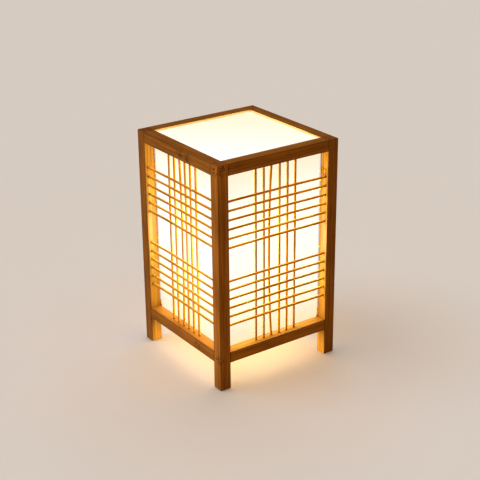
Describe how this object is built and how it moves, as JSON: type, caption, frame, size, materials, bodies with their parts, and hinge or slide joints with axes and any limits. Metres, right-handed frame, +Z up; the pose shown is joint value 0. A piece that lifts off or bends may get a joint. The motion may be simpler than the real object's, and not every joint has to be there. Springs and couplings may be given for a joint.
{
  "type": "table lamp",
  "caption": "Square table lamp: carbonised bamboo frame on legs, round stick lattice, folded translucent shade, recessed top sheet, and a bulb on a crossed base.",
  "frame": {"origin": "on the floor under the middle of the lamp", "axes": "+Z up, front face towards -Y, left face towards -X"},
  "size_m": [0.18, 0.18, 0.2965],
  "materials": {
    "bamboo_frame": "carbonised laminated bamboo, sanded and matt lacquered",
    "bamboo_stick": "round carbonised bamboo sticks, fine sanded",
    "bamboo_arm": "planed laminated bamboo, unlacquered",
    "shade_sheet": "frosted translucent PVC sheet, lit from inside",
    "zinc_steel": "zinc plated",
    "brass": "turned and pressed brass",
    "holder_plastic": "moulded white thermoset, slight gloss",
    "core_ceramic": "unglazed steatite",
    "cap_metal": "pressed, nickel plated",
    "black_glass": "black insulating glass",
    "bulb_plastic": "moulded white housing",
    "opal_globe": "opal diffuser, lit"
  },
  "bodies": {
    "lamp": {"post_front_left": "bamboo_frame", "post_front_right": "bamboo_frame", "post_back_right": "bamboo_frame", "post_back_left": "bamboo_frame", "top_rail_front": "bamboo_frame", "bottom_rail_front": "bamboo_frame", "top_rail_right": "bamboo_frame", "bottom_rail_right": "bamboo_frame", "top_rail_back": "bamboo_frame", "bottom_rail_back": "bamboo_frame", "top_rail_left": "bamboo_frame", "bottom_rail_left": "bamboo_frame", "lower_sticks_front": "bamboo_stick", "lower_sticks_right": "bamboo_stick", "lower_sticks_back": "bamboo_stick", "lower_sticks_left": "bamboo_stick", "upper_sticks_front": "bamboo_stick", "upper_sticks_right": "bamboo_stick", "upper_sticks_back": "bamboo_stick", "upper_sticks_left": "bamboo_stick", "upright_sticks_front": "bamboo_stick", "upright_sticks_right": "bamboo_stick", "upright_sticks_back": "bamboo_stick", "upright_sticks_left": "bamboo_stick", "shade_wrap": "shade_sheet", "top_sheet": "shade_sheet", "corner_blocks": "bamboo_arm", "cross_arm_lower": "bamboo_arm", "cross_arm_upper": "bamboo_arm", "cross_screws": "zinc_steel", "nipple": "brass", "nipple_washer": "zinc_steel", "nipple_nut": "brass", "holder_base": "holder_plastic", "holder_sleeve": "holder_plastic", "holder_core": "core_ceramic", "screw_shell": "brass", "centre_contact": "brass", "terminal_screws": "brass"},
    "bulb": {"bulb_globe": "opal_globe", "bulb_housing": "bulb_plastic", "bulb_cap": "cap_metal", "bulb_insulator": "black_glass", "bulb_tip": "cap_metal"}
  },
  "joints": [
    {"name": "bulb_lift", "type": "slide", "parent": "lamp", "child": "bulb", "axis": [0, 0, 1], "range_m": [0, 0.026]}
  ]
}
